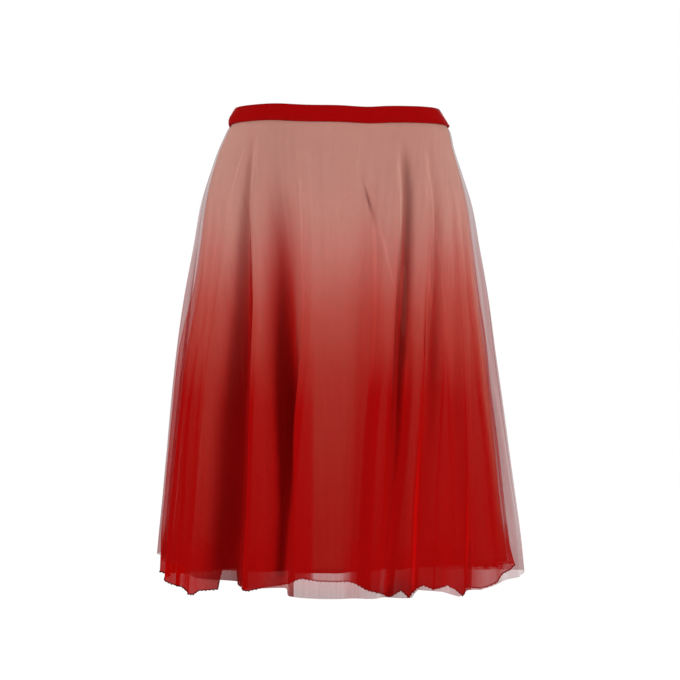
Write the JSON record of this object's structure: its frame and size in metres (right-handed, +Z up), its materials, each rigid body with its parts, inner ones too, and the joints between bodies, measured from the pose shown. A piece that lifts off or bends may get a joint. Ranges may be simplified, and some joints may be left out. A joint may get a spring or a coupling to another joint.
{
  "type": "a-line skirt",
  "caption": "Knee-length a-line skirt: fitted waistband, opaque lining, dyed net with an edged hem and a longer sheer net over it, all flared into soft flutes.",
  "frame": {"origin": "middle of the waist opening, at the height of the seam that joins the skirt layers to the waistband", "axes": "+Z up out of the waist, -Y the front of the skirt, +X the wearer's left"},
  "size_m": [0.4704, 0.3972, 0.6129],
  "materials": {
    "waistband": "satin-faced red cotton",
    "lining": "matt crepe, dyed from nude at the waist to deep red at the hem",
    "dyed_net": "fine soft net, dyed from nude to red, with a dark red overlocked edge",
    "outer_net": "fine undyed mauve-grey net with a raw cut hem",
    "hook": "plain nickelled wire"
  },
  "bodies": {
    "root": {"waistband": "waistband", "lining_front": "lining", "lining_back_left": "lining", "lining_back_right": "lining", "dyed_net_front": "dyed_net", "dyed_net_back_left": "dyed_net", "dyed_net_back_right": "dyed_net", "outer_net_front": "outer_net", "outer_net_back_left": "outer_net", "outer_net_back_right": "outer_net", "waist_hook": "hook", "waist_bar": "hook"}
  },
  "joints": []
}
